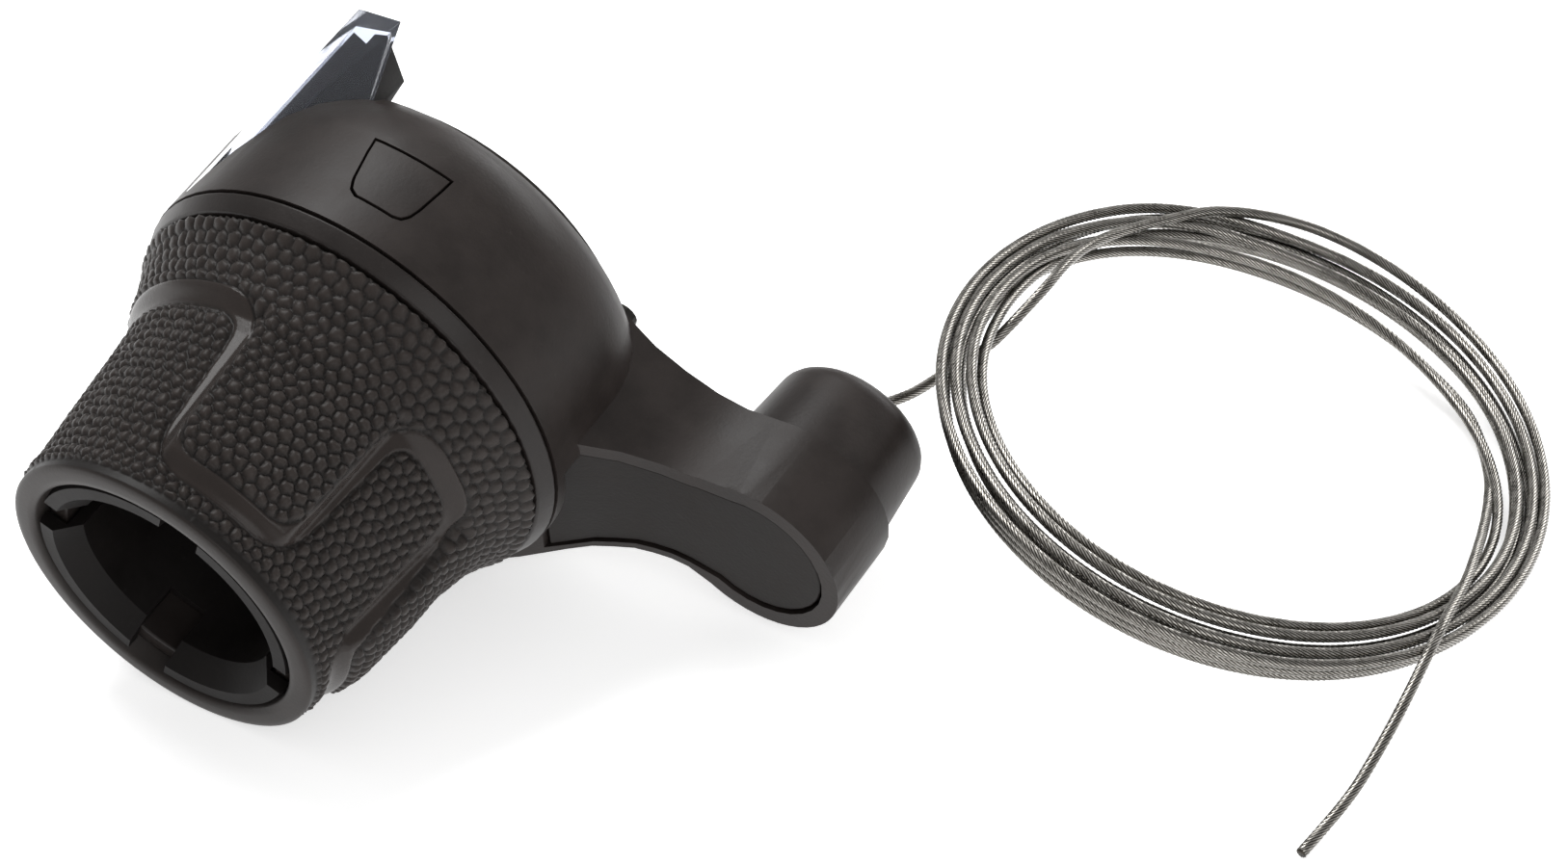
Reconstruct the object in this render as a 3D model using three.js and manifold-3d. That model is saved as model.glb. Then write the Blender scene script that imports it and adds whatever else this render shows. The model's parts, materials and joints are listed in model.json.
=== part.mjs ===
// Twist-grip gear shifter for a bicycle handlebar, with its indicator, cable arm and coiled inner cable.
// Units are millimetres. +Z is up and the shifter lies on Z = 0, resting on the grip's mouth, its flange
// and the coil. The handlebar axis runs along +Y and rises towards the clamp; the cable arm points to +X.
import * as THREE from 'three';
import { ConvexGeometry } from 'three/addons/geometries/ConvexGeometry.js';
import { mergeVertices } from 'three/addons/utils/BufferGeometryUtils.js';
import Module from 'manifold-3d';

const wasm = await Module();
wasm.setup();

// ---- Driving dimensions ----
const GAP = 0.3; // clearance between neighbouring pieces
const BORE_R = 11.5; // inside of the fixed sleeve, for a 22.2 mm handlebar
const SLEEVE_R = 12.7; // outside of the fixed sleeve
const SLEEVE_END_Y = 56.4; // its inboard end
const CORE_R = 15.1; // outside of the rotating plastic core under the rubber
const MOUTH_R = 18.2; // rubber rim at the mouth
const MOUTH_Y = 0.6; // station of the rim's widest point
const FLANGE_R = 25.3; // grip flange and housing ring
const SEAM_Y = 32.3; // where the grip ends and the housing starts
const RING_BACK_Y = 51; // inboard face of the housing
const BACK_WALL = 2; // thickness of that wall
const RING_WALL = 2.5;
const ARM_LENGTH = 44.1; // handlebar axis to barrel axis
const ARM_FACE_Y = 41; // outboard face of the arm near the barrel
const ARM_BACK_Y = 51;
const BARREL_R0 = 10.2; // barrel radius at the arm's outboard face
const BARREL_R1 = 8.5; // barrel radius at its inboard end
const BARREL_END_Y = 61.7;
const CABLE_R = 0.6;
const DRUM_R = 16.8; // cable centre in the drum's groove
const CABLE_Y = 44; // plane of the groove
const PULLEY_R = 4; // cable centre in the guide pulley's groove
const TWIST_RANGE = 60; // degrees between first and last gear
const GEARS = 3;
const DISPLAY_ANGLE = 141; // direction that the display faces, degrees round from +X
const DISPLAY_R = 24.8; // handlebar axis to the display's face
const NEEDLE_TRAVEL = 9;
const HATCH_ANGLE = 77;
const DETENT_ANGLE = 270;
const DETENT_Y = 37.2;
const ORIGIN_X = -13.09; // handlebar axis at the mouth, from the part's origin
const ORIGIN_Y = -30.64;

// The shifter rests on the rims of two unequal circles, so its axis is tilted.
const TILT = Math.atan((FLANGE_R - MOUTH_R) / (SEAM_Y - MOUTH_Y));
const DIP = THREE.MathUtils.degToRad(20.6); // the arm dips towards the table
const MOUTH_HEIGHT = FLANGE_R * Math.cos(TILT) - SEAM_Y * Math.sin(TILT);

const deg = THREE.MathUtils.degToRad;

// ---- Materials ----
const plastic = (color, roughness) => new THREE.MeshStandardMaterial({ color, roughness, metalness: 0 });
const metal = (color, roughness) => new THREE.MeshStandardMaterial({ color, roughness, metalness: 1 });
const blackPlastic = () => plastic(0x272322, 0.5);
const innerPlastic = () => plastic(0x1b1918, 0.55);
const whitePlastic = () => plastic(0xd8d6cf, 0.4);
const rubber = () => plastic(0x1d1a18, 0.8);
const steel = () => metal(0x9a9894, 0.35);
const clear = () => new THREE.MeshStandardMaterial({
  color: 0xe8eef2,
  roughness: 0.08,
  transparent: true,
  opacity: 0.35,
});

// ---- Solids ----
// Turns any closed geometry into a solid, facing outwards.
function solid(geometry) {
  const flat = geometry.clone();
  flat.deleteAttribute('normal');
  flat.deleteAttribute('uv');
  const merged = mergeVertices(flat, 1e-4);
  const triangles = new Uint32Array(merged.index.array);
  const points = new Float32Array(merged.attributes.position.array);
  if (signedVolume(points, triangles) < 0) {
    triangles.reverse();
  }
  return new wasm.Manifold(new wasm.Mesh({ numProp: 3, vertProperties: points, triVerts: triangles }));
}

function signedVolume(points, triangles) {
  const [a, b, c] = [new THREE.Vector3(), new THREE.Vector3(), new THREE.Vector3()];
  let volume = 0;
  for (let i = 0; i < triangles.length; i += 3) {
    a.fromArray(points, 3 * triangles[i]);
    b.fromArray(points, 3 * triangles[i + 1]);
    c.fromArray(points, 3 * triangles[i + 2]);
    volume += a.dot(b.cross(c));
  }
  return volume;
}

function toGeometry(manifold) {
  const mesh = manifold.getMesh();
  const geometry = new THREE.BufferGeometry();
  geometry.setAttribute('position', new THREE.BufferAttribute(mesh.vertProperties, 3));
  geometry.setIndex(new THREE.BufferAttribute(mesh.triVerts, 1));
  geometry.computeVertexNormals();
  return geometry;
}

function addMesh(group, name, shape, material) {
  const geometry = shape instanceof THREE.BufferGeometry ? shape : toGeometry(shape);
  const mesh = new THREE.Mesh(geometry, material);
  mesh.name = name;
  group.add(mesh);
  return mesh;
}

// A turned solid about the handlebar axis; profile points are [radius, station], closed on themselves.
function turned(profile, segments = 64) {
  const points = profile.map(([r, y]) => new THREE.Vector2(r, y));
  points.push(points[0].clone());
  return new THREE.LatheGeometry(points, segments);
}

const tube = (r0, r1, y0, y1, segments) => turned([[r0, y0], [r1, y0], [r1, y1], [r0, y1]], segments);

const disc = (r, y0, y1, segments = 64) => tube(0, r, y0, y1, segments);

// A round bar along Y, standing on its own axis at x, z.
function bar(r, y0, y1, x = 0, z = 0, segments = 24) {
  const geometry = new THREE.CylinderGeometry(r, r, y1 - y0, segments);
  geometry.translate(x, (y0 + y1) / 2, z);
  return geometry;
}

// A plate whose outline is drawn in X and Z, from y0 to y1.
function plate(outline, y0, y1) {
  const shape = new THREE.Shape(outline.map(([x, z]) => new THREE.Vector2(x, z)));
  const geometry = new THREE.ExtrudeGeometry(shape, { depth: y1 - y0, bevelEnabled: false });
  geometry.rotateX(Math.PI / 2);
  geometry.translate(0, y1, 0);
  return geometry;
}

// A band whose outline is drawn in X and Y, tall in Z.
function band(outline, z0 = -40, z1 = 40) {
  const shape = new THREE.Shape(outline.map(([x, y]) => new THREE.Vector2(x, y)));
  const geometry = new THREE.ExtrudeGeometry(shape, { depth: z1 - z0, bevelEnabled: false });
  geometry.translate(0, 0, z0);
  return geometry;
}

const hull = (points) => new ConvexGeometry(points.map(([x, y, z]) => new THREE.Vector3(x, y, z)));

function block(x0, x1, y0, y1, z0, z1) {
  const geometry = new THREE.BoxGeometry(x1 - x0, y1 - y0, z1 - z0);
  geometry.translate((x0 + x1) / 2, (y0 + y1) / 2, (z0 + z1) / 2);
  return geometry;
}

// Turns a geometry about the handlebar axis, so that its own +X points at the given angle.
const around = (geometry, angle) => geometry.rotateY(-deg(angle));

// Points of an arc in a plane, both ends included.
function arc(x, z, r, from, to, steps) {
  const points = [];
  for (let i = 0; i <= steps; i += 1) {
    const t = deg(from + ((to - from) * i) / steps);
    points.push([x + r * Math.cos(t), z + r * Math.sin(t)]);
  }
  return points;
}

// Straight-line interpolation through [station, value] knots.
function along(knots, y) {
  let i = 1;
  while (i < knots.length - 1 && knots[i][0] < y) {
    i += 1;
  }
  const [y0, v0] = knots[i - 1];
  const [y1, v1] = knots[i];
  const t = THREE.MathUtils.clamp((y - y0) / (y1 - y0), 0, 1);
  return v0 + (v1 - v0) * t;
}

const ease = (t) => THREE.MathUtils.smoothstep(t, 0, 1);

// ---- Grip ----
const PADS = [61, 329, 195]; // middles of the raised finger pads, degrees
const PAD_HALF = 22; // half width of a pad, degrees
const LOW = [[0, 18.0], [MOUTH_Y, MOUTH_R], [3.5, 18.0], [9, 18.6], [16.5, 19.3], [20, 19.7], [23, 20.3]];
const HIGH = [
  [3.5, 18.0], [5.5, 19.2], [8, 20.0], [15, 20.6], [20, 20.7], [25, 21.9], [28, 23.2], [30, 24.5],
];

// Radius of the rubber: raised pads that run into the flange, with hollows between them.
function gripRadius(y, angle) {
  const off = Math.min(...PADS.map((middle) => Math.abs(((angle - middle + 540) % 360) - 180)));
  const side = ease((PAD_HALF + 2.5 - off) / 5);
  const flange = ease((y - 21.5) / 2);
  const raised = Math.max(side * ease((y - 3.5) / 2), flange);
  return along(LOW, y) * (1 - raised) + along(HIGH, y) * raised;
}

function gripRubber() {
  const stations = [0, MOUTH_Y, 2, 3.5, 5.5, 8, 11.5, 15, 18, 20.5, 22.5, 24, 26, 28, 29.9];
  const sides = 80;
  const inner = CORE_R + GAP;
  const rows = [[inner, 0], ...stations.map((y) => [null, y]), [inner, 29.9]];
  const points = [];
  for (const [r, y] of rows) {
    for (let i = 0; i < sides; i += 1) {
      const angle = (360 * i) / sides;
      const radius = r ?? gripRadius(y, angle) - (y === 0 ? 0.9 : 0);
      points.push(radius * Math.cos(deg(angle)), y, radius * Math.sin(deg(angle)));
    }
  }
  const index = [];
  for (let j = 0; j < rows.length; j += 1) {
    const next = (j + 1) % rows.length;
    for (let i = 0; i < sides; i += 1) {
      const [a, b] = [j * sides + i, j * sides + ((i + 1) % sides)];
      const [c, d] = [next * sides + i, next * sides + ((i + 1) % sides)];
      index.push(a, c, b, b, c, d);
    }
  }
  const geometry = new THREE.BufferGeometry();
  geometry.setAttribute('position', new THREE.Float32BufferAttribute(points, 3));
  geometry.setIndex(index);
  return solid(geometry);
}

const TUBE_R = 14; // inner end of the core, which carries the drum

function gripCore() {
  return turned([
    [SLEEVE_R + GAP, 2.1], [CORE_R, 2.1], [CORE_R, 30.2], [24.4, 30.2], [FLANGE_R, SEAM_Y], [23.9, SEAM_Y],
    [23.9, 31.4], [TUBE_R, 31.4], [TUBE_R, 48.4], [SLEEVE_R + GAP, 48.4],
  ], 72);
}

function cableDrum() {
  const r = TUBE_R + GAP;
  return turned([
    [r, 38.6], [18.6, 38.6], [18.6, CABLE_Y - 1], [DRUM_R - CABLE_R - 0.2, CABLE_Y - 0.7],
    [DRUM_R - CABLE_R - 0.2, CABLE_Y + 0.7], [18.6, CABLE_Y + 1], [18.6, 47.8], [r, 47.8],
  ], 48);
}

const NIPPLE_ANGLE = 242;

function nipplePocket(extra) {
  const pocket = new THREE.CylinderGeometry(1.5 + extra, 1.5 + extra, 4.6 + 2 * extra, 16);
  pocket.translate(DRUM_R, CABLE_Y, 0);
  return around(pocket, NIPPLE_ANGLE);
}

function indexRing() {
  let ring = solid(tube(TUBE_R + GAP, 17.5, DETENT_Y - 1.2, DETENT_Y + 1, 48));
  for (let gear = 0; gear < GEARS; gear += 1) {
    const notch = bar(1.9, 33, 40, 18.3, 0, 16);
    ring = ring.subtract(solid(around(notch, DETENT_ANGLE + (gear * TWIST_RANGE) / (GEARS - 1))));
  }
  return ring;
}

const CAM_R0 = 18.9;
const CAM_R1 = 20.7;
const CAM_Y0 = 34.6;
const CAM_Y1 = 48.2;
const PIN_R = 0.8;
const PIN_Y = 37;

// A curved plate with a helical slot, which drives the indicator's pin along the bar.
function indicatorCam() {
  const [from, to] = [DISPLAY_ANGLE - 8, DISPLAY_ANGLE + TWIST_RANGE + 8];
  const outer = arc(0, 0, CAM_R1, from, to, 20);
  const inner = arc(0, 0, CAM_R0, to, from, 20);
  let cam = solid(plate([...outer, ...inner], CAM_Y0, CAM_Y1));
  const steps = 20;
  const slot = [];
  for (let i = 0; i <= steps; i += 1) {
    const y = PIN_Y + (NEEDLE_TRAVEL * i) / steps;
    const angle = DISPLAY_ANGLE + (TWIST_RANGE * i) / steps;
    const cut = new THREE.CylinderGeometry(PIN_R + 0.6, PIN_R + 0.6, 4, 12);
    cut.rotateZ(Math.PI / 2);
    cut.translate((CAM_R0 + CAM_R1) / 2, y, 0);
    slot.push(around(cut, angle));
  }
  for (const cut of slot) {
    cam = cam.subtract(solid(cut));
  }
  return cam;
}

// ---- Fixed sleeve and clamp ----
const HOOKS = 4;
const HOOK_GAP_ANGLE = 66;
const COLLAR_R = 17.7;

function innerSleeve() {
  let sleeve = solid(turned([
    [BORE_R, 2.8], [BORE_R + 1.9, 0.3], [CORE_R - 0.2, 0.3], [CORE_R, 0.8], [CORE_R, 1.8],
    [SLEEVE_R, 1.8], [SLEEVE_R, 49.3], [COLLAR_R, 49.3], [COLLAR_R, 50.9], [SLEEVE_R, 50.9],
    [SLEEVE_R, SLEEVE_END_Y], [BORE_R, SLEEVE_END_Y],
  ], 72));
  for (let i = 0; i < HOOKS; i += 1) {
    const slit = block(10.5, 16, -1, 7, -2.2, 2.2);
    sleeve = sleeve.subtract(solid(around(slit, HOOK_GAP_ANGLE + (360 / HOOKS) * i)));
  }
  for (const angle of [70, 160, 250, 340]) {
    sleeve = sleeve.subtract(solid(around(block(10, 14, 52.2, 61, -0.9, 0.9), angle)));
  }
  return sleeve;
}

const CLAMP_Y0 = 52.6;
const CLAMP_Y1 = 56.1;
const CLAMP_BAND_Y1 = 55.1;
const CLAMP_R = 14.3;
const CLAMP_ANGLE = 250;
const BOLT_REACH = 18;

function clampBand() {
  const half = 13;
  const outside = arc(0, 0, CLAMP_R, half, 360 - half, 48);
  const inside = arc(0, 0, SLEEVE_R + GAP, 360 - half, half, 48);
  let ring = solid(plate([...outside, ...inside], CLAMP_Y0, CLAMP_BAND_Y1));
  for (const side of [-1, 1]) {
    const [z0, z1] = side < 0 ? [-5.1, -3.1] : [3.1, 5.1];
    ring = ring.add(solid(block(13.3, 21.2, CLAMP_Y0, CLAMP_Y1, z0, z1)));
  }
  ring = ring.subtract(solid(acrossLugs(1.7, -9, 9)));
  return ring.rotate([0, -CLAMP_ANGLE, 0]);
}

// A round bar through the clamp's two lugs.
function acrossLugs(r, z0, z1, segments = 24) {
  const geometry = new THREE.CylinderGeometry(r, r, z1 - z0, segments);
  geometry.rotateX(Math.PI / 2);
  geometry.translate(BOLT_REACH, (CLAMP_Y0 + CLAMP_Y1) / 2, (z0 + z1) / 2);
  return geometry;
}

function clampBolt() {
  let bolt = solid(acrossLugs(1.4, -5.6, 8)).add(solid(acrossLugs(2.75, -8.4, -5.4)));
  bolt = bolt.subtract(solid(acrossLugs(1.45, -9, -6.8, 6)));
  return bolt.rotate([0, -CLAMP_ANGLE, 0]);
}

function clampNut() {
  const nut = solid(acrossLugs(3.15, 5.4, 7.8, 6)).subtract(solid(acrossLugs(1.7, 5, 10)));
  return nut.rotate([0, -CLAMP_ANGLE, 0]);
}

// ---- Housing ----
// Edges of the arm seen along the handlebar, as [distance from the axis, height].
const ARM_TOP = [[17, 12.6], [19, 10.6], [21, 9.1], [24, 7.6], [28, 6.8], [32, 6.6], [35.5, 7.2]];
const ARM_BOTTOM = [[38, -9.4], [34, -10.6], [30, -12.4], [26, -14.6], [22, -17.2], [18, -19]];
// Outboard face of the arm, as [distance from the axis, station].
const ARM_FACE = [[17, 33.4], [20.5, 34], [24, 36.3], [28, 38.9], [32, 40.4], [36, ARM_FACE_Y]];

function armOutline(inset) {
  const top = ARM_TOP.map(([x, z]) => [x, z - inset]);
  const bottom = ARM_BOTTOM.map(([x, z]) => [x, z + inset]);
  const tip = arc(ARM_LENGTH, 0, BARREL_R0 - inset, 122, -108, 18);
  return [[4, 12.6 - inset], ...top, ...tip, ...bottom, [4, -19 + inset]];
}

function faceBand(from, to) {
  const face = [[4, 33.4], ...ARM_FACE, [ARM_LENGTH + 14, ARM_FACE_Y]];
  const near = face.map(([x, y]) => [x, y + from]);
  const far = face.map(([x, y]) => [x, typeof to === 'number' ? y + to : to.y]).reverse();
  return band([...near, ...far]);
}

function armSolid() {
  return solid(plate(armOutline(0), 30, ARM_BACK_Y)).intersect(solid(faceBand(0, { y: 60 })));
}

function barrelProfile(inset, y0, y1, round) {
  const taper = (BARREL_R1 - BARREL_R0) / (BARREL_END_Y - ARM_FACE_Y);
  const radius = (y) => BARREL_R0 + taper * (y - ARM_FACE_Y);
  const points = [[0, y0], [radius(y0) - inset, y0], [radius(y1 - round) - inset, y1 - round]];
  for (let i = 1; i <= 5; i += 1) {
    const t = deg(18 * i);
    const r = radius(y1 - round) - inset - round;
    points.push([r + round * Math.cos(t), y1 - round + round * Math.sin(t)]);
  }
  points.push([0, y1]);
  return points;
}

function barrel(inset, y0, y1, round) {
  const geometry = turned(barrelProfile(inset, y0, y1, round), 48);
  geometry.translate(ARM_LENGTH, 0, 0);
  return geometry;
}

// Cover outline: set in from the arm's rim, close to its lower edge.
function coverOutline(gap) {
  const top = ARM_TOP.slice(2).map(([x, z]) => [x, z - 2.2 + gap]);
  const bottom = ARM_BOTTOM.slice(0, 4).map(([x, z]) => [x, z + 1.3 - gap]);
  const tip = arc(ARM_LENGTH, 0, BARREL_R0 - 2.2 + gap, 122, -108, 18);
  return [...top, ...tip, ...bottom, [24.2 - gap, -14.4 - gap], [21 - gap, 4 + gap]];
}

const COVER_THICK = 1.6;
const ringSolid = () => solid(turned([
  [0, SEAM_Y + GAP], [FLANGE_R, SEAM_Y + GAP], [FLANGE_R, 43.8], [24.9, 46.4], [24.1, 48.6], [23, 50.2],
  [21.6, RING_BACK_Y], [0, RING_BACK_Y],
], 72));

// Direction of the cable between drum and barrel, in the arm's own frame.
const CABLE_SLOPE = Math.asin(DRUM_R / ARM_LENGTH);

// A bar or plate set across the guide pulley, along its axle.
function onPulley(geometry) {
  geometry.rotateX(Math.PI / 2);
  geometry.rotateY(-CABLE_SLOPE);
  const reach = PULLEY_R;
  geometry.translate(
    ARM_LENGTH - reach * Math.cos(CABLE_SLOPE),
    CABLE_Y + PULLEY_R,
    -reach * Math.sin(CABLE_SLOPE),
  );
  return geometry;
}

function pulleyBar(r, length, segments = 24) {
  return onPulley(new THREE.CylinderGeometry(r, r, length, segments));
}

function armCavity() {
  const inside = solid(plate(armOutline(2), 30, ARM_BACK_Y - 1.8));
  const cavity = inside.intersect(solid(faceBand(COVER_THICK, { y: 60 })));
  const duct = solid(block(14, 40, 42, 46.5, -14, -1.5));
  const inRing = solid(disc(23.6, 30, 52, 48));
  return cavity.subtract(inRing).add(duct.intersect(cavity.add(inRing)));
}

// Frame of the display: n points out of its face and t runs up along it.
const DISPLAY_N = [Math.cos(deg(DISPLAY_ANGLE)), Math.sin(deg(DISPLAY_ANGLE))];
const DISPLAY_T = [DISPLAY_N[1], -DISPLAY_N[0]];
const onDisplay = (t, y, n) => [
  DISPLAY_N[0] * n + DISPLAY_T[0] * t,
  y,
  DISPLAY_N[1] * n + DISPLAY_T[1] * t,
];

// The display's body: narrow at the seam, fanning out to its inboard end, set in by a wall thickness.
function displayHull(inset, floor) {
  const y0 = 34.2 + inset;
  const y1 = 56 - inset;
  const face = DISPLAY_R - inset;
  return hull([
    onDisplay(-6 + inset, y0, face), onDisplay(3 - inset, y0, face),
    onDisplay(-6 + inset, y1, face), onDisplay(15.7 - inset, y1, face),
    onDisplay(19.4 - inset, y1, face - 3.9 + inset), onDisplay(15 - inset, 47.5, face - 8 + inset),
    onDisplay(3 - inset, y0, floor), onDisplay(-6 + inset, y0, floor),
    onDisplay(11 - inset, 46, floor), onDisplay(15 - inset, y1, floor + 1.5),
    onDisplay(-6 + inset, y1, floor),
  ]);
}

const WINDOW_WALL = 1.1;

function windowCover() {
  const shell = solid(displayHull(0, 21)).subtract(solid(displayHull(WINDOW_WALL, 15)));
  return shell.subtract(solid(disc(22.6, 30, 60, 64)));
}

function dialPlate() {
  const carrier = solid(displayHull(WINDOW_WALL + GAP, 15));
  const lid = solid(hull(faceSlab(21.9, 30)));
  const clearance = solid(disc(21.4, 30, 49.1)).add(solid(disc(COLLAR_R + GAP, 49, 60)));
  const slot = solid(hull(pinSlot()));
  return carrier.subtract(lid).subtract(clearance).subtract(slot);
}

// A slab of space parallel to the display's face.
function faceSlab(n0, n1) {
  const corners = [];
  for (const n of [n0, n1]) {
    for (const t of [-12, 22]) {
      for (const y of [30, 60]) {
        corners.push(onDisplay(t, y, n));
      }
    }
  }
  return corners;
}

function pinSlot() {
  const corners = [];
  const [y0, y1] = [PIN_Y - PIN_R - 0.5, PIN_Y + NEEDLE_TRAVEL + PIN_R + 0.5];
  for (const n of [18, 23]) {
    for (const t of [-PIN_R - 0.5, PIN_R + 0.5]) {
      corners.push(onDisplay(t, y0, n), onDisplay(t, y1, n));
    }
  }
  return corners;
}

function indicatorNeedle() {
  const pin = new THREE.CylinderGeometry(PIN_R, PIN_R, 3.2, 12);
  pin.rotateZ(Math.PI / 2);
  pin.translate(20.7, PIN_Y, 0);
  const carriage = hull([
    onDisplay(-2, PIN_Y - 1.6, 22.2), onDisplay(2, PIN_Y - 1.6, 22.2), onDisplay(-2, PIN_Y + 1.6, 22.2),
    onDisplay(2, PIN_Y + 1.6, 22.2), onDisplay(-2, PIN_Y - 1.6, 23), onDisplay(2, PIN_Y - 1.6, 23),
    onDisplay(-2, PIN_Y + 1.6, 23), onDisplay(2, PIN_Y + 1.6, 23),
  ]);
  return solid(around(pin, DISPLAY_ANGLE)).add(solid(carriage));
}

// Hatch outline on the ring, as [angle, station], narrow end towards the grip.
const HATCH = [
  [-5.6, 36.2], [4.6, 36.2], [6.8, 36.8], [8.2, 38.2], [10.8, 43.6],
  [-10.8, 43.6], [-9.6, 38.8], [-8.9, 37.4], [-7.6, 36.5],
];

function hatchPrism(shrink) {
  const points = [];
  for (const [angle, y] of HATCH) {
    const a = HATCH_ANGLE + angle * (1 - shrink / 4.6);
    const station = 40 + (y - 40) * (1 - shrink / 3.6);
    for (const r of [20, 28]) {
      points.push([r * Math.cos(deg(a)), station, r * Math.sin(deg(a))]);
    }
  }
  return solid(hull(points));
}

function cableHatch() {
  const wall = solid(tube(FLANGE_R - RING_WALL, FLANGE_R, SEAM_Y + GAP, 44, 72));
  return wall.intersect(hatchPrism(0.3));
}

const detentBar = (r, from, to, segments = 16) => {
  const geometry = new THREE.CylinderGeometry(r, r, to - from, segments);
  geometry.rotateZ(Math.PI / 2);
  geometry.translate((from + to) / 2, DETENT_Y, 0);
  return around(geometry, DETENT_ANGLE);
};

// The spring-loaded pin that drops into the index ring's notches, held just clear of its crests.
function detentPlunger() {
  const nose = new THREE.CylinderGeometry(0.7, 1.6, 1, 16);
  nose.rotateZ(Math.PI / 2);
  nose.translate(18.3, DETENT_Y, 0);
  return solid(detentBar(1.6, 18.7, 21.2)).add(solid(around(nose, DETENT_ANGLE)));
}

function detentSpring() {
  const turns = 3;
  const stepsPerTurn = 8;
  const points = [];
  for (let i = 0; i <= turns * stepsPerTurn; i += 1) {
    const t = (2 * Math.PI * i) / stepsPerTurn;
    const r = 21.7 + (1.7 * i) / (turns * stepsPerTurn);
    points.push([r, DETENT_Y + 1.1 * Math.cos(t), 1.1 * Math.sin(t)]);
  }
  return cable(points, 48, 0.2).rotate([0, -DETENT_ANGLE, 0]);
}

const SCREW_R = 19.6;
const SCREWS = [355, 200, 300];

function mainHousing() {
  const arm = armSolid().add(solid(barrel(0, ARM_FACE_Y, BARREL_END_Y, 2.4)));
  let body = ringSolid().add(arm.rotate([0, THREE.MathUtils.radToDeg(DIP), 0]));
  const ringHollow = solid(disc(FLANGE_R - RING_WALL, 30, RING_BACK_Y - BACK_WALL, 64));
  const socket = solid(bar(3.1, 54, 70, ARM_LENGTH, 0));
  const chamber = solid(bar(6.9, 42, 52.6, ARM_LENGTH, 0)).add(solid(pulleyBar(5.4, 3.4)));
  const passage = solid(bar(1, 50, 60, ARM_LENGTH, 0, 12));
  let arms = armCavity().add(chamber).add(socket).add(passage).add(solid(pulleyBar(1.5, 15.4)));
  const recess = solid(plate(coverOutline(GAP), 30, 60)).intersect(solid(faceBand(-3, COVER_THICK + GAP)));
  arms = arms.add(recess).rotate([0, THREE.MathUtils.radToDeg(DIP), 0]);
  body = body.subtract(ringHollow).subtract(arms);
  body = body.subtract(solid(disc(COLLAR_R + GAP, 45, 60, 64)));
  body = body.subtract(solid(displayHull(-GAP, 14))).subtract(hatchPrism(0));
  body = body.add(solid(detentBar(2.9, 19.1, 23.4))).subtract(solid(detentBar(1.9, 18, 23.9)));
  for (const angle of SCREWS) {
    body = body.subtract(solid(around(bar(1.1, 48, 60, SCREW_R, 0, 12), angle)));
  }
  return body;
}

function rearPlate() {
  let ring = solid(tube(SLEEVE_R + GAP, 20.2, RING_BACK_Y + GAP, 52.2, 64));
  for (const angle of SCREWS) {
    ring = ring.subtract(solid(around(bar(1.1, 50, 54, SCREW_R, 0, 12), angle)));
  }
  ring = ring.subtract(solid(around(block(14.4, 24, 50, 54, -9.2, 8.8), CLAMP_ANGLE)));
  return ring.subtract(solid(displayHull(-GAP, 10)));
}

function rearScrew(angle) {
  let head = solid(bar(1.6, 52.5, 53.5, SCREW_R, 0, 16));
  head = head.subtract(solid(bar(0.8, 52.9, 55, SCREW_R, 0, 6)));
  const shank = solid(bar(0.8, 49.2, 52.6, SCREW_R, 0, 12));
  return head.add(shank).rotate([0, -angle, 0]);
}

function armCover() {
  return solid(plate(coverOutline(0), 30, 60)).intersect(solid(faceBand(0.25, COVER_THICK)));
}

function dustSeal() {
  return tube(20.4, 22.4, 32.8, 33.9, 48);
}

// ---- Cable ----
// A plain round cable along a smooth curve.
function cable(points, steps, radius = CABLE_R) {
  const path = new THREE.CatmullRomCurve3(points.map((p) => new THREE.Vector3(...p)), false, 'centripetal');
  const section = new THREE.Shape();
  section.absarc(0, 0, radius, 0, 2 * Math.PI, false);
  const options = { steps, bevelEnabled: false, extrudePath: path, curveSegments: 4 };
  return solid(new THREE.ExtrudeGeometry(section, options));
}

// The run held by the arm: off the drum, over the guide pulley and out through the barrel.
function cableRun() {
  const [c, s] = [Math.cos(CABLE_SLOPE), Math.sin(CABLE_SLOPE)];
  const onLine = (d) => [ARM_LENGTH - d * c, CABLE_Y, -d * s];
  const points = [];
  for (const d of [38.5, 30, 20, 12, 7]) {
    points.push(onLine(d));
  }
  for (let i = 0; i <= 6; i += 1) {
    const t = deg(15 * i);
    const d = PULLEY_R * (1 - Math.sin(t));
    points.push([ARM_LENGTH - d * c, CABLE_Y + PULLEY_R * (1 - Math.cos(t)), -d * s]);
  }
  for (const y of [51, 55, BARREL_END_Y]) {
    points.push([ARM_LENGTH, y, 0]);
  }
  return cable(points, 48);
}

// The turn that lies in the drum's groove, from the nipple to where the cable leaves the drum.
function cableWrap() {
  const leave = -90 + THREE.MathUtils.radToDeg(CABLE_SLOPE - DIP);
  const points = [];
  for (let i = 0; i <= 8; i += 1) {
    const angle = deg(NIPPLE_ANGLE - 360 + 7 + ((leave - 3 - (NIPPLE_ANGLE - 360 + 7)) * i) / 8);
    points.push([DRUM_R * Math.cos(angle), CABLE_Y, DRUM_R * Math.sin(angle)]);
  }
  return cable(points, 12);
}

// Free cable on the table: from the barrel, under and over the coil, then its loose end.
const STRAND = [
  [41.3, 63.9, 16.05], [42, 66.3, 16.2], [43.4, 69.4, 15.9], [44.3, 73.4, 15.7], [44.9, 77.6, 15.6],
];
const TAIL = [
  [104.9, 63.7, 6], [105, 59, 4.3], [104.9, 54.1, 2.6], [104.3, 50.1, 1.3], [103.8, 45.6, 0.65],
];
const COIL_CENTRE = [73.5, 88.8, 11.15];
const COIL_TILT = deg(16.3);
const COIL_LEAN = deg(30);
const COIL_A = 35.1; // half the coil's length, to the middle of its strands
const COIL_B = 30.8;
const COIL_HALF_WIDTH = 2.7;
const COIL_HALF_HEIGHT = 1.9;
const COIL_FAN = 1.05; // how much wider the bundle is along the coil's sides than at its two ends

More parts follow.
